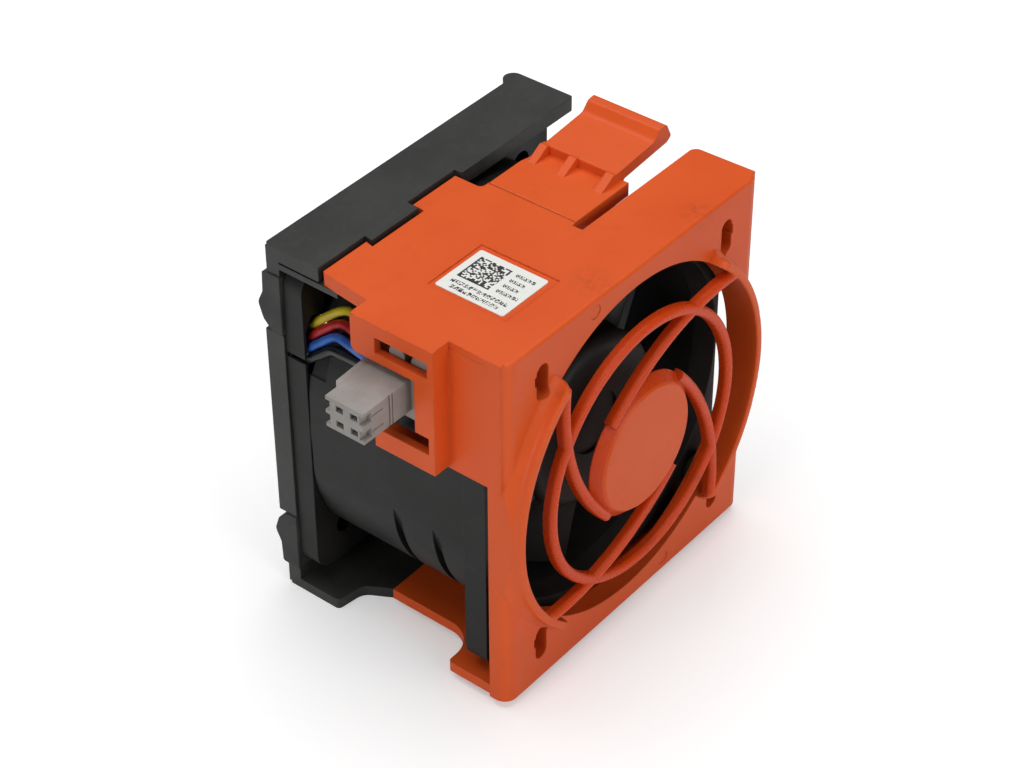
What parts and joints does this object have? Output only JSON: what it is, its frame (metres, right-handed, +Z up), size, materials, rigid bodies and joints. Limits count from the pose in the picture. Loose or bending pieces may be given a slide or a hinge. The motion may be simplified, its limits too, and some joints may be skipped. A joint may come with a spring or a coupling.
{
  "type": "server fan module",
  "caption": "Hot-swap axial fan module with a swirl finger guard, a release latch and a side power connector.",
  "frame": {"origin": "on the base plane, under the middle of the rear frame's foot and under the fan's axis", "axes": "+Z up; the module stands on the foot of its rear frame; air enters the guard at -Y and leaves at +Y; the connector points to -X and the release latch's grip to +X"},
  "size_m": [0.0822, 0.0565, 0.0788],
  "materials": {
    "orange_plastic": "satin moulded touch-point orange",
    "black_plastic": "moulded black, slightly glossy",
    "fan_plastic": "moulded glass-filled black",
    "rubber": "matt soft rubber",
    "connector_plastic": "satin grey nylon",
    "terminal_metal": "tin-plated spring contacts",
    "label_white": "satin polyester label film",
    "label_silver": "matt silver label film",
    "steel": "ground steel",
    "magnet": "bonded ferrite",
    "brass": "turned brass",
    "copper": "enamelled copper winding",
    "board": "green solder mask",
    "wire_yellow": "PVC insulation",
    "wire_red": "PVC insulation",
    "wire_blue": "PVC insulation",
    "wire_black": "PVC insulation"
  },
  "bodies": {
    "module": {"front_carrier": "orange_plastic", "rear_frame": "black_plastic", "rear_isolators": "rubber", "front_isolators": "rubber", "fan_housing": "fan_plastic", "front_bearing": "steel", "rear_bearing": "steel", "bearing_sleeve": "brass", "stator_core": "steel", "stator_coils": "copper", "motor_board": "board", "hub_label": "label_silver", "top_label": "label_white", "fan_label": "label_white", "connector_housing": "connector_plastic", "connector_terminals": "terminal_metal", "wire_yellow": "wire_yellow", "wire_red": "wire_red", "wire_blue": "wire_blue", "wire_black": "wire_black"},
    "rotor": {"impeller": "fan_plastic", "rotor_yoke": "steel", "magnet_ring": "magnet", "rotor_shaft": "steel", "shaft_clip": "steel"},
    "latch": {"release_latch": "orange_plastic"}
  },
  "joints": [
    {"name": "impeller_spin", "type": "hinge", "parent": "module", "child": "rotor", "pos_m": [0, -0.02007, 0.03795], "axis": [0, 1, 0], "continuous": true},
    {"name": "latch_flex", "type": "hinge", "parent": "module", "child": "latch", "pos_m": [0.004, -0.01727, 0.073], "axis": [0, 1, 0], "range_deg": [-3, 2.5], "stiffness_Nm_per_rad": 4}
  ]
}
